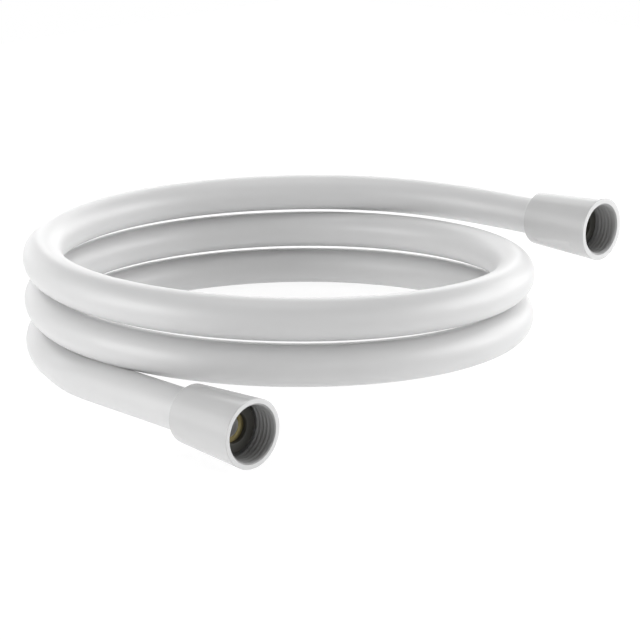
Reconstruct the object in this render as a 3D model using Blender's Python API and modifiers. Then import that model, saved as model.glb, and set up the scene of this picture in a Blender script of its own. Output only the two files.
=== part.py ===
"""Shower hose, 1.65 m, lying in the coil it was packed in, with a conical G1/2 nut on each end.

Metres, +Z up. The floor is at z = 0 and both nuts point along +X. The smooth hose runs from the
wall nut, down a coil of a little over two turns, to the handset nut, which rests on the floor.
"""

import math

import bmesh
import bpy
from mathutils import Euler, Vector
from mathutils.geometry import interpolate_bezier

MM = 0.001

# The hose
HOSE_OD = 16.0 * MM
HOSE_BORE = 9.0 * MM
NECK_OD = 14.2 * MM
NECK_TAPER = 1.5 * MM

# The coil: its turns lie a little apart, and it leans because the handset nut lifts one side
COIL_RADIUS = 96.4 * MM
TURN_GAP = 1.23 * MM
COIL_PITCH = HOSE_OD + TURN_GAP
COIL_X = -0.2 * MM
COIL_Y = -7.8 * MM
COIL_LEAN = Euler((math.radians(-2.74), math.radians(-0.38), 0.0))
COIL_LEVEL_ANGLE = 135.0
COIL_START_ANGLE = 142.6
COIL_END_ANGLE = 973.3
DEGREES_PER_POINT = 15.0
POINTS_PER_TAIL = 8

# Where each tail of the hose enters its nut, from the coil's centre, and how far each bend reaches
HANDSET_ENTRY_X = 60.2 * MM
HANDSET_ENTRY_Y = -102.6 * MM
HANDSET_COIL_REACH = 23.7 * MM
HANDSET_NUT_REACH = 71.6 * MM
WALL_ENTRY_X = 41.8 * MM
WALL_ENTRY_Y = 118.1 * MM
WALL_ENTRY_DROP = 8.2 * MM
WALL_COIL_REACH = 63.4 * MM
WALL_NUT_REACH = 38.2 * MM

# The nuts
HANDSET_NUT_LENGTH = 31.75 * MM
HANDSET_RIM_OD = 25.3 * MM
HANDSET_REAR_OD = 22.0 * MM
HANDSET_SOCKET_DEPTH = 9.0 * MM
HANDSET_LEAD_IN = 0.45 * MM
WALL_NUT_LENGTH = 33.3 * MM
WALL_RIM_OD = 26.7 * MM
WALL_REAR_OD = 23.1 * MM
WALL_SOCKET_DEPTH = 10.0 * MM
WALL_LEAD_IN = 0.7 * MM
THREAD_MAJOR = 20.96 * MM
RIM_ROUND = 0.15 * MM
REAR_ROUND = 0.4 * MM

# The two wrench flats of the wall nut, measured back from its rim and out from its axis; the nut
# rests turned so that one flat faces down and forwards
FLAT_START = 7.7 * MM
FLAT_END = 28.0 * MM
FLAT_FRONT_HEIGHT = 11.99 * MM
FLAT_REAR_HEIGHT = 11.7 * MM
FLAT_ROLL = math.radians(132.0)

# What sits in each nut, from the socket's bottom backwards: washer, flange, glide ring, hose
WASHER_OD = 18.4 * MM
WASHER_HOLE = 11.0 * MM
WASHER_THICKNESS = 2.0 * MM
FLANGE_OD = 18.4 * MM
FLANGE_THICKNESS = 2.4 * MM
NIPPLE_BORE = 6.8 * MM
NIPPLE_MOUTH_BORE = 8.0 * MM
NIPPLE_MOUTH_DEPTH = 3.5 * MM
NIPPLE_MOUTH_CHAMFER = 0.6 * MM
COLLAR_OD = 12.4 * MM
COLLAR_PAST_SHOULDER = 0.5 * MM
TAIL_LENGTH = 12.0 * MM
TAIL_CORE_OD = 7.8 * MM
BARB_COUNT = 4
GLIDE_RING_THICKNESS = 1.2 * MM
FERRULE_LENGTH = 12.0 * MM
FERRULE_WALL = 0.8 * MM
CRIMP_COUNT = 3
CRIMP_DEPTH = 0.25 * MM
FERRULE_RUNNING_GAP = 0.4 * MM

# The gap kept between pieces that touch
CLEARANCE = 0.3 * MM

# Places along an end's axis, as depths behind the washer's sealing face
FLANGE_FRONT = WASHER_THICKNESS + CLEARANCE
FLANGE_BACK = FLANGE_FRONT + FLANGE_THICKNESS
GLIDE_FRONT = FLANGE_BACK + CLEARANCE
GLIDE_BACK = GLIDE_FRONT + GLIDE_RING_THICKNESS
SHOULDER = GLIDE_BACK + CLEARANCE
COLLAR_BACK = SHOULDER + COLLAR_PAST_SHOULDER
HOSE_END = COLLAR_BACK + CLEARANCE
FERRULE_BACK = HOSE_END + FERRULE_LENGTH

# Diameters that follow from what they fit
BARB_OD = HOSE_BORE - 2 * CLEARANCE
GLIDE_RING_HOLE = COLLAR_OD + 2 * CLEARANCE
FERRULE_BORE = NECK_OD + 2 * CLEARANCE
FERRULE_OD = FERRULE_BORE + 2 * FERRULE_WALL
NUT_REAR_BORE = FERRULE_OD + 2 * FERRULE_RUNNING_GAP

# Roundness of the solids
HOSE_BEVEL_RESOLUTION = 4
BORE_BEVEL_RESOLUTION = 4
NUT_SEGMENTS = 48
INNER_SEGMENTS = 32
ROUND_STEPS = 3
MERGE_DISTANCE = 0.01 * MM
SMOOTH_ANGLE = math.radians(35.0)


class End:
    """One end of the hose: its nut's sizes and the point where the hose enters the nut."""

    def __init__(self, name, entry, nut_length, rim_od, rear_od, socket_depth, lead_in):
        self.name = name
        self.entry = entry
        self.nut_length = nut_length
        self.rim_od = rim_od
        self.rear_od = rear_od
        self.socket_depth = socket_depth
        self.lead_in = lead_in
        self.rim = entry + Vector((nut_length, 0.0, 0.0))
        self.seal = self.rim - Vector((socket_depth, 0.0, 0.0))

    def behind_seal(self, depth):
        """The point on the axis this far behind the washer's sealing face."""
        return self.seal - Vector((depth, 0.0, 0.0))


def clear_scene():
    for item in list(bpy.data.objects):
        bpy.data.objects.remove(item, do_unlink=True)


def new_collection(name):
    collection = bpy.data.collections.new(name)
    bpy.context.scene.collection.children.link(collection)
    return collection


def new_material(name, colour, roughness, metallic=0.0):
    material = bpy.data.materials.new(name)
    material.use_nodes = True
    shader = material.node_tree.nodes["Principled BSDF"]
    shader.inputs["Base Color"].default_value = (*colour, 1.0)
    shader.inputs["Roughness"].default_value = roughness
    shader.inputs["Metallic"].default_value = metallic
    return material


def new_object(name, data, collection, material=None):
    item = bpy.data.objects.new(name, data)
    collection.objects.link(item)
    if material is not None:
        data.materials.append(material)
    return item


# The route of the hose

def leaned_coil_point(degrees):
    """A point of the coil about its own centre, with the coil's lean."""
    angle = math.radians(degrees)
    drop = COIL_PITCH * (degrees - COIL_LEVEL_ANGLE) / 360.0
    point = Vector((COIL_RADIUS * math.cos(angle), COIL_RADIUS * math.sin(angle), -drop))
    point.rotate(COIL_LEAN)
    return point


def leaned_coil_direction(degrees):
    """The direction in which the coil runs there, towards the handset."""
    angle = math.radians(degrees)
    fall = COIL_PITCH / (2.0 * math.pi)
    direction = Vector((-COIL_RADIUS * math.sin(angle), COIL_RADIUS * math.cos(angle), -fall))
    direction.rotate(COIL_LEAN)
    return direction.normalized()


def coil_angles():
    count = round((COIL_END_ANGLE - COIL_START_ANGLE) / DEGREES_PER_POINT)
    step = (COIL_END_ANGLE - COIL_START_ANGLE) / count
    return [COIL_START_ANGLE + step * index for index in range(count + 1)]


def coil_centre():
    """The coil's centre, at the height where its lowest turn touches the floor."""
    lowest = min(leaned_coil_point(degrees).z for degrees in coil_angles())
    return Vector((COIL_X, COIL_Y, HOSE_OD / 2.0 - lowest))


def make_ends():
    centre = coil_centre()
    handset_entry = Vector((
        centre.x + HANDSET_ENTRY_X,
        centre.y + HANDSET_ENTRY_Y,
        HANDSET_RIM_OD / 2.0,
    ))
    wall_entry = centre + Vector((WALL_ENTRY_X, WALL_ENTRY_Y, -WALL_ENTRY_DROP))
    handset = End(
        "handset",
        handset_entry,
        HANDSET_NUT_LENGTH,
        HANDSET_RIM_OD,
        HANDSET_REAR_OD,
        HANDSET_SOCKET_DEPTH,
        HANDSET_LEAD_IN,
    )
    wall = End(
        "wall",
        wall_entry,
        WALL_NUT_LENGTH,
        WALL_RIM_OD,
        WALL_REAR_OD,
        WALL_SOCKET_DEPTH,
        WALL_LEAD_IN,
    )
    return handset, wall


def tail_points(coil_angle, run, coil_reach, end, nut_reach):
    """The bend from the coil to the nut, without the coil's own point; run is +1 or -1."""
    start = coil_centre() + leaned_coil_point(coil_angle)
    start_handle = start + leaned_coil_direction(coil_angle) * run * coil_reach
    end_handle = end.entry - Vector((nut_reach, 0.0, 0.0))
    points = interpolate_bezier(start, start_handle, end_handle, end.entry, POINTS_PER_TAIL + 1)
    return list(points)[1:]


def end_points(end):
    """The straight stretch inside the nut, with the hose's radius factor at each point."""
    neck = NECK_OD / HOSE_OD
    taper_end = FERRULE_BACK + NECK_TAPER
    return [
        (end.behind_seal(taper_end), 1.0),
        (end.behind_seal(FERRULE_BACK), neck),
        (end.behind_seal(HOSE_END), neck),
    ]


def hose_route(handset, wall):
    """The whole hose from the wall end to the handset end, as (point, radius factor)."""
    centre = coil_centre()
    wall_tail = tail_points(COIL_START_ANGLE, -1, WALL_COIL_REACH, wall, WALL_NUT_REACH)
    coil = [centre + leaned_coil_point(degrees) for degrees in coil_angles()]
    handset_tail = tail_points(COIL_END_ANGLE, 1, HANDSET_COIL_REACH, handset, HANDSET_NUT_REACH)
    free = [(point, 1.0) for point in wall_tail[::-1] + coil + handset_tail]
    return end_points(wall)[::-1] + free + end_points(handset)


# Ways of making a piece

def tube_curve(name, route, diameter, resolution, collection):
    """A tube along the route with filled caps."""
    curve = bpy.data.curves.new(name, "CURVE")
    curve.dimensions = "3D"
    curve.twist_mode = "Z_UP"
    curve.bevel_depth = diameter / 2.0
    curve.bevel_resolution = resolution
    curve.use_fill_caps = True
    spline = curve.splines.new("POLY")
    spline.points.add(len(route) - 1)
    for knot, (point, factor) in zip(spline.points, route):
        knot.co = (*point, 1.0)
        knot.radius = factor
    return new_object(name, curve, collection)


def curve_to_mesh(item, collection):
    """The curve's tube as one closed mesh object under the same name."""
    name = item.name
    depsgraph = bpy.context.evaluated_depsgraph_get()
    mesh = bpy.data.meshes.new_from_object(item.evaluated_get(depsgraph))
    matrix = item.matrix_world.copy()
    bpy.data.objects.remove(item, do_unlink=True)
    work = bmesh.new()
    work.from_mesh(mesh)
    bmesh.ops.remove_doubles(work, verts=work.verts, dist=MERGE_DISTANCE)
    work.to_mesh(mesh)
    work.free()
    solid = new_object(name, mesh, collection)
    solid.matrix_world = matrix
    return solid


def subtract(item, cutter):
    cutter.hide_render = True
    cutter.display_type = "WIRE"
    modifier = item.modifiers.new("Cut " + cutter.name, "BOOLEAN")
    modifier.operation = "DIFFERENCE"
    modifier.solver = "EXACT"
    modifier.object = cutter


def turned(name, profile, place, segments, collection, material):
    """A piece turned about the axis along X through the place.

    The profile is a closed list of (depth behind the place, radius). It runs backwards on the
    outside and returns on the inside.
    """
    mesh = bpy.data.meshes.new(name)
    points = [(radius, 0.0, -depth) for depth, radius in profile]
    edges = [(index, (index + 1) % len(points)) for index in range(len(points))]
    mesh.from_pydata(points, edges, [])
    item = new_object(name, mesh, collection, material)
    item.location = place
    item.rotation_euler = (0.0, math.pi / 2.0, 0.0)
    screw = item.modifiers.new("Turn", "SCREW")
    screw.axis = "Z"
    screw.steps = segments
    screw.render_steps = segments
    screw.use_merge_vertices = True
    screw.merge_threshold = MERGE_DISTANCE
    screw.use_smooth_shade = True
    return item


def rounded_corner(depth, radius, start_degrees, size):
    """Points of a quarter round about a centre, turning towards the rear of the piece."""
    points = []
    for step in range(ROUND_STEPS + 1):
        angle = math.radians(start_degrees - 90.0 * step / ROUND_STEPS)
        points.append((depth - size * math.sin(angle), radius + size * math.cos(angle)))
    return points


# The pieces

def make_hose(handset, wall, parts, cutters, material):
    route = hose_route(handset, wall)
    outside = tube_curve("hose", route, HOSE_OD, HOSE_BEVEL_RESOLUTION, parts)
    hose = curve_to_mesh(outside, parts)
    hose.data.materials.append(material)
    hose.data.shade_smooth()
    hose.data.set_sharp_from_angle(angle=SMOOTH_ANGLE)
    past_end = HOSE_END - CLEARANCE
    bore_route = [(point, 1.0) for point, factor in route]
    bore_route[0] = (wall.behind_seal(past_end), 1.0)
    bore_route[-1] = (handset.behind_seal(past_end), 1.0)
    inside = tube_curve("hose_bore_cutter", bore_route, HOSE_BORE, BORE_BEVEL_RESOLUTION, cutters)
    subtract(hose, curve_to_mesh(inside, cutters))
    return hose


def nut_profile(end):
    rim_radius = end.rim_od / 2.0
    rear_radius = end.rear_od / 2.0
    bore = THREAD_MAJOR / 2.0
    rear_bore = NUT_REAR_BORE / 2.0
    shoulder = end.socket_depth + SHOULDER
    outside = rounded_corner(RIM_ROUND, rim_radius - RIM_ROUND, 90.0, RIM_ROUND)
    outside += rounded_corner(end.nut_length - REAR_ROUND, rear_radius - REAR_ROUND, 0.0, REAR_ROUND)
    inside = [
        (end.nut_length, rear_bore),
        (shoulder, rear_bore),
        (shoulder, bore),
        (end.lead_in, bore),
        (0.0, bore + end.lead_in),
    ]
    return outside + inside


def make_nut(end, parts, material):
    return turned(end.name + "_nut", nut_profile(end), end.rim, NUT_SEGMENTS, parts, material)


def cut_wrench_flats(nut, end, cutters):
    """Two flats on opposite sides of the nut, each narrowing as it runs out towards the hose."""
    length = FLAT_END - FLAT_START
    tilt = math.atan2(FLAT_FRONT_HEIGHT - FLAT_REAR_HEIGHT, length)
    middle = end.rim - Vector(((FLAT_START + FLAT_END) / 2.0, 0.0, 0.0))
    middle_height = (FLAT_FRONT_HEIGHT + FLAT_REAR_HEIGHT) / 2.0
    for label, roll in (("front", FLAT_ROLL), ("back", FLAT_ROLL + math.pi)):
        outward = Vector((0.0, -math.sin(roll), math.cos(roll)))
        work = bmesh.new()
        bmesh.ops.create_cube(work, size=1.0)
        bmesh.ops.scale(work, vec=(length, end.rim_od, end.rim_od), verts=work.verts)
        bmesh.ops.translate(work, vec=(0.0, 0.0, end.rim_od / 2.0), verts=work.verts)
        mesh = bpy.data.meshes.new("wrench_flat_" + label)
        work.to_mesh(mesh)
        work.free()
        cutter = new_object("wrench_flat_" + label, mesh, cutters)
        cutter.location = middle + outward * middle_height
        cutter.rotation_mode = "YXZ"
        cutter.rotation_euler = (roll, -tilt, 0.0)
        subtract(nut, cutter)


def make_washer(end, parts, material):
    outer = WASHER_OD / 2.0
    hole = WASHER_HOLE / 2.0
    profile = [(0.0, outer), (WASHER_THICKNESS, outer), (WASHER_THICKNESS, hole), (0.0, hole)]
    return turned(end.name + "_washer", profile, end.seal, INNER_SEGMENTS, parts, material)


def nipple_profile():
    bore = NIPPLE_BORE / 2.0
    mouth = NIPPLE_MOUTH_BORE / 2.0
    mouth_end = FLANGE_FRONT + NIPPLE_MOUTH_DEPTH
    barb_pitch = TAIL_LENGTH / BARB_COUNT
    profile = [
        (FLANGE_FRONT, FLANGE_OD / 2.0),
        (FLANGE_BACK, FLANGE_OD / 2.0),
        (FLANGE_BACK, COLLAR_OD / 2.0),
        (COLLAR_BACK, COLLAR_OD / 2.0),
    ]
    for barb in range(BARB_COUNT):
        start = COLLAR_BACK + barb * barb_pitch
        profile += [(start, TAIL_CORE_OD / 2.0), (start + barb_pitch / 3.0, BARB_OD / 2.0)]
    profile += [
        (COLLAR_BACK + TAIL_LENGTH, TAIL_CORE_OD / 2.0),
        (COLLAR_BACK + TAIL_LENGTH, bore),
        (mouth_end + mouth - bore, bore),
        (mouth_end, mouth),
        (FLANGE_FRONT + NIPPLE_MOUTH_CHAMFER, mouth),
        (FLANGE_FRONT, mouth + NIPPLE_MOUTH_CHAMFER),
    ]
    return profile


def make_nipple(end, parts, material):
    return turned(end.name + "_nipple", nipple_profile(), end.seal, INNER_SEGMENTS, parts, material)


def make_glide_ring(end, parts, material):
    outer = FLANGE_OD / 2.0
    hole = GLIDE_RING_HOLE / 2.0
    profile = [(GLIDE_FRONT, outer), (GLIDE_BACK, outer), (GLIDE_BACK, hole), (GLIDE_FRONT, hole)]
    return turned(end.name + "_glide_ring", profile, end.seal, INNER_SEGMENTS, parts, material)


def ferrule_profile():
    """A sleeve with shallow crimp rings pressed in round its outside."""
    outer = FERRULE_OD / 2.0
    inner = FERRULE_BORE / 2.0
    land = FERRULE_LENGTH / (2 * CRIMP_COUNT + 1)
    profile = [(HOSE_END, outer)]
    for crimp in range(CRIMP_COUNT):
        start = HOSE_END + land * (2 * crimp + 1)
        profile += [
            (start, outer),
            (start + land / 3.0, outer - CRIMP_DEPTH),
            (start + land * 2.0 / 3.0, outer - CRIMP_DEPTH),
            (start + land, outer),
        ]
    profile += [(FERRULE_BACK, outer), (FERRULE_BACK, inner), (HOSE_END, inner)]
    return profile


def make_ferrule(end, parts, material):
    return turned(end.name + "_ferrule", ferrule_profile(), end.seal, INNER_SEGMENTS, parts, material)


def main():
    clear_scene()
    parts = new_collection("shower_hose")
    cutters = new_collection("cutters")
    pvc = new_material("white_pvc", (0.64, 0.64, 0.64), 0.30)
    nut_white = new_material("nut_white", (0.55, 0.55, 0.55), 0.20)
    brass = new_material("brass", (0.60, 0.46, 0.20), 0.30, metallic=1.0)
    rubber = new_material("washer_rubber", (0.035, 0.034, 0.028), 0.60)
    glide_plastic = new_material("glide_plastic", (0.85, 0.84, 0.80), 0.45)
    steel = new_material("ferrule_steel", (0.62, 0.62, 0.63), 0.35, metallic=1.0)

    handset, wall = make_ends()
    make_hose(handset, wall, parts, cutters, pvc)
    for end in (handset, wall):
        nut = make_nut(end, parts, nut_white)
        if end is wall:
            cut_wrench_flats(nut, end, cutters)
        make_washer(end, parts, rubber)
        make_nipple(end, parts, brass)
        make_glide_ring(end, parts, glide_plastic)
        make_ferrule(end, parts, steel)


main()
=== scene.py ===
"""The look of the shower hose: smooth white hose, threaded conical nuts, washers and brass nipples."""

import math
from typing import NamedTuple

import bmesh
import bpy
from mathutils import Euler, Matrix, Vector
from mathutils.geometry import interpolate_bezier


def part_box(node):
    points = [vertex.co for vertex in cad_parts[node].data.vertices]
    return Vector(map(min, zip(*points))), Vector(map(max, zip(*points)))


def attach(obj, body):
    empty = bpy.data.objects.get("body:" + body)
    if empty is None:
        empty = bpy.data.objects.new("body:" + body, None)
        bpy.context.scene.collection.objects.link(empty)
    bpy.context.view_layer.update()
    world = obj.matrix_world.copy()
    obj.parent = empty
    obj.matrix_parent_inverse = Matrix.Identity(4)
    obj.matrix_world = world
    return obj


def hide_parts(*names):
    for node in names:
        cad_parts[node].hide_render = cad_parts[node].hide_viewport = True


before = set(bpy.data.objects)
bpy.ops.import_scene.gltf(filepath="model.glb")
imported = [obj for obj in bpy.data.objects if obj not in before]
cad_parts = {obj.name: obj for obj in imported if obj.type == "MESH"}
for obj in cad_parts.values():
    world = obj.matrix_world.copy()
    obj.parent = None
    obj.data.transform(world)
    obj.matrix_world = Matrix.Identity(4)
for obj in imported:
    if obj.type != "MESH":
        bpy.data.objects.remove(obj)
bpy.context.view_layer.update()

MM = 0.001

# The hose's section
HOSE_OD = 16.0 * MM
HOSE_BORE = 9.0 * MM
NECK_OD = 14.2 * MM
NECK_TAPER = 1.5 * MM
HOSE_SIDES = 48
BORE_SIDES = 16

# The hose's route, as in the part's source; angles round the coil are in degrees
COIL_RADIUS = 96.4 * MM
COIL_PITCH = 17.23 * MM
COIL_X = -0.2 * MM
COIL_Y = -7.8 * MM
COIL_LEAN = Euler((math.radians(-2.74), math.radians(-0.38), 0.0))
COIL_LEVEL_ANGLE = 135.0
COIL_START_ANGLE = 142.6
COIL_END_ANGLE = 973.3
HANDSET_COIL_REACH = 23.7 * MM
HANDSET_NUT_REACH = 71.6 * MM
WALL_COIL_REACH = 63.4 * MM
WALL_NUT_REACH = 38.2 * MM
DEGREES_PER_RING = 2.5
RINGS_PER_TAIL = 48
RINGS_PER_STRAIGHT = 6

# The nuts; their lengths and rim sizes come from the frame
HANDSET_REAR_OD = 22.0 * MM
HANDSET_LEAD_IN = 0.45 * MM
WALL_REAR_OD = 23.1 * MM
WALL_LEAD_IN = 0.7 * MM
RIM_ROUND = 0.15 * MM
REAR_ROUND = 0.4 * MM
NUT_REAR_BORE = 17.2 * MM
SHOULDER_GAP = 0.3 * MM
NUT_SIDES = 180
SIDE_ROWS = 24

# The thread inside each nut
THREAD_MAJOR = 20.96 * MM
THREAD_MINOR = 20.62 * MM
THREAD_PITCH = 1.814 * MM
THREAD_PAST_SEAL = 0.8 * MM
ROWS_PER_THREAD = 12

# The wall nut's wrench flats, two and opposite; their slope runs to the rear
FLAT_START = 7.7 * MM
FLAT_END = 28.0 * MM
FLAT_FRONT_HEIGHT = 11.99 * MM
FLAT_REAR_HEIGHT = 11.7 * MM
FLAT_ROLL = math.radians(132.0)
FLAT_EDGE = 0.12 * MM
LEAST_SINE = 0.01

# The washer and the nipple behind each thread; their outer sizes come from the frame
WASHER_HOLE = 11.0 * MM
WASHER_ROUND = 0.25 * MM
NIPPLE_BORE = 6.8 * MM
NIPPLE_MOUTH_BORE = 8.0 * MM
NIPPLE_MOUTH_DEPTH = 3.5 * MM
NIPPLE_MOUTH_CHAMFER = 0.6 * MM
FLANGE_THICKNESS = 2.4 * MM
FLANGE_ROUND = 0.15 * MM
COLLAR_OD = 12.4 * MM
COLLAR_LENGTH = 2.3 * MM
TAIL_LENGTH = 12.0 * MM
TAIL_CORE_OD = 7.8 * MM
BARB_OD = 8.4 * MM
BARB_COUNT = 4
RISES_PER_BARB = 3.0
INNER_SIDES = 96

# Rounded corners: the steps in one, and the angle in degrees at which each kind starts
ROUND_STEPS = 5
FRONT_OUTER = 90.0
REAR_OUTER = 0.0
REAR_INNER = -90.0
FRONT_INNER = -180.0
SMOOTH_ANGLE = math.radians(40.0)

# Where each material stands in a nut's list and in a nipple's
NUT_SIDE, NUT_INSIDE, NUT_RIM = 0, 1, 2
NIPPLE_BRASS, NIPPLE_WATERWAY = 0, 1

# The camera, from the photograph's own view
CAMERA_PLACE = Vector((526.4, -503.9, 235.5)) * MM
CAMERA_AZIMUTH = math.radians(135.48)
CAMERA_DROP = math.radians(17.298)
CAMERA_ROLL = math.radians(-1.70)
CAMERA_LENS = 102.37
CAMERA_SENSOR = 36.0
CAMERA_CLIP_START = 0.01

# The studio: a surround that is seen white but gives no light, and a floor lit a little from below
WHITE = (1.0, 1.0, 1.0, 1.0)
SURROUND_LIGHT = 0.0
SURROUND_SEEN = 1.0
FLOOR_REACH = 0.8
FLOOR_ROUGHNESS = 0.9
FLOOR_WHITE = 0.9
FLOOR_GLOW = 0.30
FLOOR_SEEN_WHITE = 0.25
FLOOR_SEEN_GLOW = 0.85

# Soft lamps round the coil: name, degrees round from +X, degrees up, brightness
LAMP_TARGET = Vector((0.0, 0.0, 0.03))
LAMP_DISTANCE = 1.8
LAMP_SIZE = 1.2
LAMPS = (
    ("front_right_lamp", 15, 12, 0.6),
    ("right_lamp", 45, 12, 4.7),
    ("right_rear_lamp", 75, 12, 2.0),
    ("rear_right_lamp", 105, 12, 1.4),
    ("rear_lamp", 135, 12, 1.4),
    ("rear_left_lamp", 165, 12, 1.0),
    ("left_front_lamp", 225, 12, 0.9),
    ("left_lamp", 255, 12, 5.0),
    ("right_front_lamp", 345, 12, 0.7),
    ("top_lamp", 0, 90, 2.1),
    ("high_rear_lamp", 140, 45, 1.6),
)


class Finish(NamedTuple):
    """How a material varies over its surface; grain and cloud are noise scales along x, y and z.

    The grain sets the roughness and the bump, and the tone too where there is no cloud.
    """

    dark: tuple
    light: tuple
    grain: tuple
    smoothest: float
    roughest: float
    bump_depth: float = 0.0
    bump_strength: float = 0.0
    cloud: tuple = None
    grain_space: str = "Object"
    metallic: float = 0.0


FINISHES = {
    # Satin extruded PVC with a faint draw along its length
    "hose_pvc": Finish(
        dark=(0.62, 0.62, 0.622),
        light=(0.66, 0.66, 0.66),
        grain=(260.0, 6.0, 1.0),
        smoothest=0.34,
        roughest=0.44,
        bump_depth=0.01 * MM,
        bump_strength=0.35,
        cloud=(45.0, 45.0, 45.0),
        grain_space="UV",
    ),
    # Polished white lacquer
    "nut_white": Finish(
        dark=(0.55, 0.55, 0.55),
        light=(0.58, 0.58, 0.58),
        grain=(600.0, 600.0, 600.0),
        smoothest=0.16,
        roughest=0.26,
        bump_depth=0.004 * MM,
        bump_strength=0.4,
        cloud=(60.0, 60.0, 60.0),
    ),
    # The face of a nut's rim: the nut's white painted lighter, as painted light for the extra light the
    # rim catches
    "rim_painted_light": Finish(
        dark=(0.69, 0.69, 0.69),
        light=(0.72, 0.72, 0.72),
        grain=(60.0, 60.0, 60.0),
        smoothest=0.16,
        roughest=0.26,
    ),
    # The inside of a nut: a grey darker than the nut's white, as painted shade for the shadowed socket
    "thread_painted_shade": Finish(
        dark=(0.37, 0.37, 0.37),
        light=(0.43, 0.43, 0.43),
        grain=(9000.0, 300.0, 300.0),
        smoothest=0.4,
        roughest=0.55,
        bump_depth=0.01 * MM,
        bump_strength=0.4,
    ),
    # Turned brass
    "brass": Finish(
        dark=(0.26, 0.222, 0.105),
        light=(0.34, 0.29, 0.15),
        grain=(4000.0, 500.0, 500.0),
        smoothest=0.6,
        roughest=0.72,
        bump_depth=0.01 * MM,
        bump_strength=0.4,
        metallic=1.0,
    ),
    # The dull grey wall of a nipple's waterway
    "bore_grey": Finish(
        dark=(0.62, 0.62, 0.62),
        light=(0.72, 0.72, 0.72),
        grain=(6000.0, 400.0, 400.0),
        smoothest=0.45,
        roughest=0.6,
    ),
    # Dull black rubber
    "washer_rubber": Finish(
        dark=(0.032, 0.031, 0.026),
        light=(0.046, 0.045, 0.038),
        grain=(2500.0, 2500.0, 2500.0),
        smoothest=0.5,
        roughest=0.7,
        bump_depth=0.03 * MM,
        bump_strength=0.5,
    ),
    # Moulded natural white plastic
    "glide_plastic": Finish(
        dark=(0.80, 0.79, 0.74),
        light=(0.86, 0.85, 0.81),
        grain=(1500.0, 1500.0, 1500.0),
        smoothest=0.45,
        roughest=0.45,
        bump_depth=0.02 * MM,
        bump_strength=0.4,
    ),
    # Drawn steel
    "ferrule_steel": Finish(
        dark=(0.52, 0.52, 0.53),
        light=(0.68, 0.68, 0.69),
        grain=(200.0, 3000.0, 3000.0),
        smoothest=0.28,
        roughest=0.42,
        metallic=1.0,
    ),
}


class End:
    """One end of the hose, placed by its nut in the frame."""

    def __init__(self, name, rear_od, lead_in):
        self.name = name
        low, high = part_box(name + "_nut")
        self.nut_length = high[0] - low[0]
        self.rim_od = high[1] - low[1]
        self.rear_od = rear_od
        self.lead_in = lead_in
        self.rim = Vector((high[0], (low[1] + high[1]) / 2.0, (low[2] + high[2]) / 2.0))
        self.entry = Vector((low[0], self.rim.y, self.rim.z))
        self.seal_depth, _ = self.depths_of("washer")
        self.hose_end, self.ferrule_back = self.depths_of("ferrule")
        self.shoulder = self.depths_of("glide_ring")[1] + SHOULDER_GAP

    def depths_of(self, piece):
        """How far behind the rim this end's washer, nipple, ring or ferrule starts and ends."""
        low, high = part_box(self.name + "_" + piece)
        return self.rim.x - high[0], self.rim.x - low[0]

    def radius_of(self, piece):
        low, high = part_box(self.name + "_" + piece)
        return (high[1] - low[1]) / 2.0

    def at_depth(self, depth):
        """The point on the axis this far behind the rim."""
        return self.rim - Vector((depth, 0.0, 0.0))

    def ring_point(self, depth, radius, angle):
        """The point this far behind the rim and out from the axis; the angle starts at +Y."""
        return self.at_depth(depth) + Vector((0.0, radius * math.cos(angle), radius * math.sin(angle)))


# Material helpers

def add_node(tree, kind, **settings):
    node = tree.nodes.new(kind)
    for name, value in settings.items():
        setattr(node, name, value)
    return node


def new_material(name):
    material = bpy.data.materials.new(name)
    material.use_nodes = True
    return material, material.node_tree, material.node_tree.nodes["Principled BSDF"]


def coordinates(tree, space):
    return add_node(tree, "ShaderNodeTexCoord").outputs[space]


def noise(tree, vector, scale):
    """Noise with its own scale along each axis."""
    stretch = add_node(tree, "ShaderNodeMapping")
    stretch.inputs["Scale"].default_value = scale
    node = add_node(tree, "ShaderNodeTexNoise")
    node.inputs["Scale"].default_value = 1.0
    tree.links.new(vector, stretch.inputs["Vector"])
    tree.links.new(stretch.outputs["Vector"], node.inputs["Vector"])
    return node.outputs["Fac"]


def ranged(tree, value, low, high):
    """The value spread from 0..1 to low..high."""
    node = add_node(tree, "ShaderNodeMapRange")
    node.inputs["To Min"].default_value = low
    node.inputs["To Max"].default_value = high
    tree.links.new(value, node.inputs["Value"])
    return node.outputs["Result"]


def shaded(tree, shader, value, dark, light):
    """The base colour runs from dark to light with the value."""
    node = add_node(tree, "ShaderNodeMix", data_type="RGBA")
    node.inputs["A"].default_value = (*dark, 1.0)
    node.inputs["B"].default_value = (*light, 1.0)
    tree.links.new(value, node.inputs["Factor"])
    tree.links.new(node.outputs["Result"], shader.inputs["Base Color"])


def bumped(tree, shader, height, depth, strength):
    node = add_node(tree, "ShaderNodeBump")
    node.inputs["Distance"].default_value = depth
    node.inputs["Strength"].default_value = strength
    tree.links.new(height, node.inputs["Height"])
    tree.links.new(node.outputs["Normal"], shader.inputs["Normal"])


def finished(name):
    """The material of this name, with its finish."""
    finish = FINISHES[name]
    material, tree, shader = new_material(name)
    shader.inputs["Metallic"].default_value = finish.metallic
    grain = noise(tree, coordinates(tree, finish.grain_space), finish.grain)
    tone = noise(tree, coordinates(tree, "Object"), finish.cloud) if finish.cloud else grain
    shaded(tree, shader, tone, finish.dark, finish.light)
    if finish.roughest > finish.smoothest:
        roughness = ranged(tree, grain, finish.smoothest, finish.roughest)
        tree.links.new(roughness, shader.inputs["Roughness"])
    else:
        shader.inputs["Roughness"].default_value = finish.smoothest
    if finish.bump_depth:
        bumped(tree, shader, grain, finish.bump_depth, finish.bump_strength)
    return material


# Mesh helpers

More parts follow.
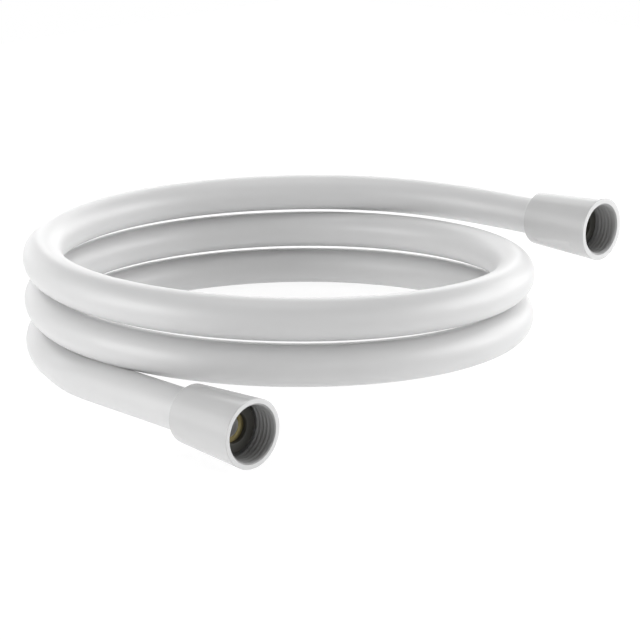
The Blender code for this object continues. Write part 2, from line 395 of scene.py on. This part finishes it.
def finish_mesh(name, work, materials):
    bmesh.ops.recalc_face_normals(work, faces=work.faces)
    mesh = bpy.data.meshes.new(name)
    work.to_mesh(mesh)
    work.free()
    for material in materials:
        mesh.materials.append(material)
    mesh.shade_smooth()
    mesh.set_sharp_from_angle(angle=SMOOTH_ANGLE)
    piece = bpy.data.objects.new(name, mesh)
    bpy.context.scene.collection.objects.link(piece)
    return piece


def lathe(name, end, rows, sides, materials):
    """A closed body of rings about the end's axis.

    A row is (depth behind the rim, radius or a function of depth and angle, material index).
    """
    work = bmesh.new()
    rings = []
    for depth, radius, _ in rows:
        ring = []
        for side in range(sides):
            angle = 2.0 * math.pi * side / sides
            out = radius(depth, angle) if callable(radius) else radius
            ring.append(work.verts.new(end.ring_point(depth, out, angle)))
        rings.append(ring)
    for index, ring in enumerate(rings):
        after = rings[(index + 1) % len(rings)]
        for side in range(sides):
            beside = (side + 1) % sides
            face = work.faces.new((ring[side], ring[beside], after[beside], after[side]))
            face.material_index = rows[index][2]
    return finish_mesh(name, work, materials)


def rounded_corner(depth, radius, start_degrees, size):
    """Points of a quarter round about a centre, turning towards the rear of the piece."""
    points = []
    for step in range(ROUND_STEPS + 1):
        angle = math.radians(start_degrees - 90.0 * step / ROUND_STEPS)
        points.append((depth - size * math.sin(angle), radius + size * math.cos(angle)))
    return points


def spread(start, end, count):
    """Evenly spaced values between start and end, without either."""
    return [start + (end - start) * (index + 1) / (count + 1) for index in range(count)]


# The hose

def leaned_coil_point(degrees):
    angle = math.radians(degrees)
    drop = COIL_PITCH * (degrees - COIL_LEVEL_ANGLE) / 360.0
    point = Vector((COIL_RADIUS * math.cos(angle), COIL_RADIUS * math.sin(angle), -drop))
    point.rotate(COIL_LEAN)
    return point


def leaned_coil_direction(degrees):
    angle = math.radians(degrees)
    fall = COIL_PITCH / (2.0 * math.pi)
    direction = Vector((-COIL_RADIUS * math.sin(angle), COIL_RADIUS * math.cos(angle), -fall))
    direction.rotate(COIL_LEAN)
    return direction.normalized()


def coil_angles():
    count = round((COIL_END_ANGLE - COIL_START_ANGLE) / DEGREES_PER_RING)
    step = (COIL_END_ANGLE - COIL_START_ANGLE) / count
    return [COIL_START_ANGLE + step * index for index in range(count + 1)]


def coil_centre():
    """The coil's centre, with its lowest turn on the floor."""
    lowest = min(leaned_coil_point(degrees).z for degrees in coil_angles())
    return Vector((COIL_X, COIL_Y, HOSE_OD / 2.0 - lowest))


def tail_points(coil_angle, run, coil_reach, end, nut_reach):
    """The bend from the coil to a nut; run is 1 where it goes on round the coil, -1 where it goes back."""
    start = coil_centre() + leaned_coil_point(coil_angle)
    start_handle = start + leaned_coil_direction(coil_angle) * run * coil_reach
    end_handle = end.entry - Vector((nut_reach, 0.0, 0.0))
    points = interpolate_bezier(start, start_handle, end_handle, end.entry, RINGS_PER_TAIL + 1)
    return list(points)[1:]


def end_points(end):
    """The straight stretch inside the nut, necked down where the ferrule grips it."""
    neck = NECK_OD / HOSE_OD
    depths = [end.ferrule_back]
    depths += spread(end.ferrule_back, end.hose_end, RINGS_PER_STRAIGHT)
    depths += [end.hose_end]
    full = [(end.at_depth(end.ferrule_back + NECK_TAPER), 1.0)]
    return full + [(end.at_depth(depth), neck) for depth in depths]


def hose_route(handset, wall):
    """The whole hose from the wall end to the handset end, as (point, radius factor)."""
    centre = coil_centre()
    wall_tail = tail_points(COIL_START_ANGLE, -1, WALL_COIL_REACH, wall, WALL_NUT_REACH)
    coil = [centre + leaned_coil_point(degrees) for degrees in coil_angles()]
    handset_tail = tail_points(COIL_END_ANGLE, 1, HANDSET_COIL_REACH, handset, HANDSET_NUT_REACH)
    free = [(point, 1.0) for point in wall_tail[::-1] + coil + handset_tail]
    return end_points(wall)[::-1] + free + end_points(handset)


def sweep_rings(work, route, radius, sides, follow_neck):
    """Rings of vertices square to the route, with the distance along it."""
    rings = []
    travelled = 0.0
    for index, (point, factor) in enumerate(route):
        before = route[max(index - 1, 0)][0]
        after = route[min(index + 1, len(route) - 1)][0]
        forward = (after - before).normalized()
        across = forward.cross(Vector((0.0, 0.0, 1.0))).normalized()
        up = across.cross(forward)
        size = radius * (factor if follow_neck else 1.0)
        travelled += (point - before).length
        ring = []
        for side in range(sides):
            angle = 2.0 * math.pi * side / sides
            ring.append(work.verts.new(point + size * (across * math.cos(angle) + up * math.sin(angle))))
        rings.append((ring, travelled))
    return rings


def skin(work, rings, uv_layer, inward):
    """Faces between neighbouring rings, with the unwrapped surface as the texture space."""
    for (ring, start), (after, end) in zip(rings, rings[1:]):
        sides = len(ring)
        for side in range(sides):
            beside = (side + 1) % sides
            corners = [ring[side], after[side], after[beside], ring[beside]]
            spots = [(side, start), (side, end), (side + 1, end), (side + 1, start)]
            if inward:
                corners.reverse()
                spots.reverse()
            face = work.faces.new(corners)
            for loop, (around, along) in zip(face.loops, spots):
                loop[uv_layer].uv = (around / sides, along)


def make_hose(handset, wall, material):
    """The hose from nut to nut, and the points along its middle."""
    route = hose_route(handset, wall)
    work = bmesh.new()
    uv_layer = work.loops.layers.uv.new("surface")
    outer = sweep_rings(work, route, HOSE_OD / 2.0, HOSE_SIDES, True)
    inner = sweep_rings(work, route, HOSE_BORE / 2.0, BORE_SIDES, False)
    skin(work, outer, uv_layer, False)
    skin(work, inner, uv_layer, True)
    for index in (0, -1):
        edges = []
        for ring in (outer[index][0], inner[index][0]):
            for side, vertex in enumerate(ring):
                edges.append(work.edges.get((vertex, ring[(side + 1) % len(ring)])))
        bmesh.ops.bridge_loops(work, edges=edges)
    hose = finish_mesh("hose_tube", work, [material])
    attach(hose, "hose_body")
    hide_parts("hose")
    return hose, [point for point, _ in route]


# The nuts

def cone_radius(end, depth):
    share = depth / end.nut_length
    return (end.rim_od + (end.rear_od - end.rim_od) * share) / 2.0


def flat_height(depth):
    """How far the flats stand from the axis this far behind the rim."""
    share = (depth - FLAT_START) / (FLAT_END - FLAT_START)
    return FLAT_FRONT_HEIGHT + (FLAT_REAR_HEIGHT - FLAT_FRONT_HEIGHT) * share


def flatted_radius(end):
    """The cone with two opposite flats."""
    def radius(depth, angle):
        cone = cone_radius(end, depth)
        if depth <= FLAT_START or depth >= FLAT_END:
            return cone
        facing = max(abs(math.sin(angle - FLAT_ROLL)), LEAST_SINE)
        return min(cone, flat_height(depth) / facing)
    return radius


def thread_radius(depth, angle):
    """A shallow rounded right-hand thread."""
    phase = (depth / THREAD_PITCH - angle / (2.0 * math.pi)) % 1.0
    height = (THREAD_MAJOR - THREAD_MINOR) / 2.0
    return THREAD_MINOR / 2.0 + height * (0.5 - 0.5 * math.cos(2.0 * math.pi * phase))


def side_rows(end, with_flats):
    """The outside, from the rim's rounded edge to the rear's."""
    rear = end.nut_length - REAR_ROUND
    rim_centre = cone_radius(end, RIM_ROUND) - RIM_ROUND
    rear_centre = cone_radius(end, end.nut_length) - REAR_ROUND
    flatted = flatted_radius(end)
    depths = spread(RIM_ROUND, rear, SIDE_ROWS)
    if with_flats:
        depths += [FLAT_START, FLAT_START + FLAT_EDGE, FLAT_END - FLAT_EDGE, FLAT_END]
    outline = rounded_corner(RIM_ROUND, rim_centre, FRONT_OUTER, RIM_ROUND)
    for depth in sorted(depths):
        outline.append((depth, flatted if with_flats else cone_radius(end, depth)))
    outline += rounded_corner(rear, rear_centre, REAR_OUTER, REAR_ROUND)
    return [(depth, radius, NUT_SIDE) for depth, radius in outline]


def socket_rows(end):
    """The inside, from the rear to the rim: clearance bore, shoulder, thread and lead-in."""
    rear_bore = NUT_REAR_BORE / 2.0
    major = THREAD_MAJOR / 2.0
    thread_end = end.seal_depth + THREAD_PAST_SEAL
    count = round(thread_end / THREAD_PITCH * ROWS_PER_THREAD)
    rows = [
        (end.nut_length, rear_bore, NUT_SIDE),
        (end.shoulder, rear_bore, NUT_INSIDE),
        (end.shoulder, major, NUT_INSIDE),
        (thread_end, major, NUT_INSIDE),
    ]
    rows += [(depth, thread_radius, NUT_INSIDE) for depth in spread(thread_end, end.lead_in, count)]
    rows.append((end.lead_in, major, NUT_INSIDE))
    rows.append((0.0, major + end.lead_in, NUT_RIM))
    return rows


def make_nut(end, with_flats, materials):
    rows = side_rows(end, with_flats) + socket_rows(end)
    nut = lathe(end.name + "_nut_shell", end, rows, NUT_SIDES, materials)
    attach(nut, end.name + "_nut_body")
    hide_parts(end.name + "_nut")
    return nut


# What shows inside the nuts

def make_washer(end, material):
    front, back = end.depths_of("washer")
    front_centre = front + WASHER_ROUND
    back_centre = back - WASHER_ROUND
    outer_centre = end.radius_of("washer") - WASHER_ROUND
    hole_centre = WASHER_HOLE / 2.0 + WASHER_ROUND
    outline = rounded_corner(front_centre, outer_centre, FRONT_OUTER, WASHER_ROUND)
    outline += rounded_corner(back_centre, outer_centre, REAR_OUTER, WASHER_ROUND)
    outline += rounded_corner(back_centre, hole_centre, REAR_INNER, WASHER_ROUND)
    outline += rounded_corner(front_centre, hole_centre, FRONT_INNER, WASHER_ROUND)
    rows = [(depth, radius, 0) for depth, radius in outline]
    washer = lathe(end.name + "_sealing_washer", end, rows, INNER_SIDES, [material])
    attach(washer, "hose_body")
    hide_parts(end.name + "_washer")
    return washer


def nipple_outside(front, flange):
    """The flange, the collar and the barbs, from the front face to the tail's end."""
    flange_back = front + FLANGE_THICKNESS
    collar_back = flange_back + COLLAR_LENGTH
    barb_pitch = TAIL_LENGTH / BARB_COUNT
    outline = rounded_corner(front + FLANGE_ROUND, flange - FLANGE_ROUND, FRONT_OUTER, FLANGE_ROUND)
    outline += rounded_corner(flange_back - FLANGE_ROUND, flange - FLANGE_ROUND, REAR_OUTER, FLANGE_ROUND)
    outline += [(flange_back, COLLAR_OD / 2.0), (collar_back, COLLAR_OD / 2.0)]
    for barb in range(BARB_COUNT):
        start = collar_back + barb * barb_pitch
        outline += [(start, TAIL_CORE_OD / 2.0), (start + barb_pitch / RISES_PER_BARB, BARB_OD / 2.0)]
    outline.append((collar_back + TAIL_LENGTH, TAIL_CORE_OD / 2.0))
    return outline


def make_nipple(end, materials):
    front, _ = end.depths_of("nipple")
    mouth = NIPPLE_MOUTH_BORE / 2.0
    mouth_end = front + NIPPLE_MOUTH_DEPTH
    outside = nipple_outside(front, end.radius_of("nipple"))
    tail_end = outside[-1][0]
    rows = [(depth, radius, NIPPLE_BRASS) for depth, radius in outside]
    rows += [
        (tail_end, NIPPLE_BORE / 2.0, NIPPLE_WATERWAY),
        (mouth_end + mouth - NIPPLE_BORE / 2.0, NIPPLE_BORE / 2.0, NIPPLE_WATERWAY),
        (mouth_end, mouth, NIPPLE_WATERWAY),
        (front + NIPPLE_MOUTH_CHAMFER, mouth, NIPPLE_BRASS),
        (front, mouth + NIPPLE_MOUTH_CHAMFER, NIPPLE_BRASS),
    ]
    nipple = lathe(end.name + "_insert", end, rows, INNER_SIDES, materials)
    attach(nipple, "hose_body")
    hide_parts(end.name + "_nipple")
    return nipple


def dress_node(name, material):
    """Gives a solid of the frame its finish."""
    for material_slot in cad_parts[name].material_slots:
        material_slot.material = material


# The studio

def make_camera():
    data = bpy.data.cameras.new("camera")
    data.lens = CAMERA_LENS
    data.sensor_width = CAMERA_SENSOR
    data.sensor_fit = "HORIZONTAL"
    data.clip_start = CAMERA_CLIP_START
    camera = bpy.data.objects.new("camera", data)
    turn = Matrix.Rotation(CAMERA_AZIMUTH - math.pi / 2.0, 4, "Z")
    tilt = Matrix.Rotation(math.pi / 2.0 - CAMERA_DROP, 4, "X")
    roll = Matrix.Rotation(CAMERA_ROLL, 4, "Z")
    camera.matrix_world = Matrix.Translation(CAMERA_PLACE) @ turn @ tilt @ roll
    bpy.context.scene.collection.objects.link(camera)
    bpy.context.scene.camera = camera


def seen_or_mirrored(tree):
    """1 for what the camera sees directly, in a reflection or through glass, else 0."""
    path = add_node(tree, "ShaderNodeLightPath")
    total = path.outputs["Is Camera Ray"]
    for name in ("Is Glossy Ray", "Is Transmission Ray"):
        larger = add_node(tree, "ShaderNodeMath", operation="MAXIMUM")
        tree.links.new(total, larger.inputs[0])
        tree.links.new(path.outputs[name], larger.inputs[1])
        total = larger.outputs[0]
    return total


def make_world():
    world = bpy.data.worlds.new("studio")
    bpy.context.scene.world = world
    world.use_nodes = True
    tree = world.node_tree
    lit = tree.nodes["Background"]
    lit.inputs["Color"].default_value = WHITE
    lit.inputs["Strength"].default_value = SURROUND_LIGHT
    seen = add_node(tree, "ShaderNodeBackground")
    seen.inputs["Color"].default_value = WHITE
    seen.inputs["Strength"].default_value = SURROUND_SEEN
    mix = add_node(tree, "ShaderNodeMixShader")
    tree.links.new(seen_or_mirrored(tree), mix.inputs["Fac"])
    tree.links.new(lit.outputs[0], mix.inputs[1])
    tree.links.new(seen.outputs[0], mix.inputs[2])
    tree.links.new(mix.outputs[0], tree.nodes["World Output"].inputs["Surface"])


def make_floor():
    """A white floor that glows softly, and looks white with a faint shadow where it is seen."""
    mesh = bpy.data.meshes.new("floor")
    work = bmesh.new()
    bmesh.ops.create_grid(work, x_segments=1, y_segments=1, size=FLOOR_REACH)
    work.to_mesh(mesh)
    work.free()
    floor = bpy.data.objects.new("floor", mesh)
    bpy.context.scene.collection.objects.link(floor)
    material, tree, shader = new_material("floor_white")
    shader.inputs["Roughness"].default_value = FLOOR_ROUGHNESS
    shader.inputs["Specular IOR Level"].default_value = 0.0
    shader.inputs["Emission Color"].default_value = WHITE
    seen = seen_or_mirrored(tree)
    tree.links.new(ranged(tree, seen, FLOOR_WHITE, FLOOR_SEEN_WHITE), shader.inputs["Base Color"])
    tree.links.new(ranged(tree, seen, FLOOR_GLOW, FLOOR_SEEN_GLOW), shader.inputs["Emission Strength"])
    mesh.materials.append(material)


def add_lamp(name, azimuth, elevation, brightness):
    """A square soft box; 1 is the brightness of a white surface in full light."""
    data = bpy.data.lights.new(name, "AREA")
    data.shape = "SQUARE"
    data.size = LAMP_SIZE
    data.energy = brightness * math.pi * LAMP_SIZE ** 2
    around = math.radians(azimuth)
    up = math.radians(elevation)
    outward = Vector((math.cos(around) * math.cos(up), math.sin(around) * math.cos(up), math.sin(up)))
    lamp = bpy.data.objects.new(name, data)
    lamp.location = LAMP_TARGET + LAMP_DISTANCE * outward
    lamp.rotation_euler = (-outward).to_track_quat("-Z", "Y").to_euler()
    bpy.context.scene.collection.objects.link(lamp)


def main():
    make_camera()
    handset = End("handset", HANDSET_REAR_OD, HANDSET_LEAD_IN)
    wall = End("wall", WALL_REAR_OD, WALL_LEAD_IN)
    hose, path = make_hose(handset, wall, finished("hose_pvc"))
    # The grey inside of the nuts is painted shade
    # The rim's lighter white is painted light
    nut_materials = [finished("nut_white"), finished("thread_painted_shade"), finished("rim_painted_light")]
    handset_nut = make_nut(handset, False, nut_materials)
    make_nut(wall, True, nut_materials)
    rubber = finished("washer_rubber")
    nipple_materials = [finished("brass"), finished("bore_grey")]
    glide = finished("glide_plastic")
    steel = finished("ferrule_steel")
    handset_pieces = [handset_nut]
    for end in (handset, wall):
        washer = make_washer(end, rubber)
        nipple = make_nipple(end, nipple_materials)
        dress_node(end.name + "_glide_ring", glide)
        dress_node(end.name + "_ferrule", steel)
        if end is handset:
            handset_pieces += [washer, nipple]
    make_world()
    make_floor()
    for lamp in LAMPS:
        add_lamp(*lamp)
    bpy.context.scene.view_settings.view_transform = "Standard"


main()
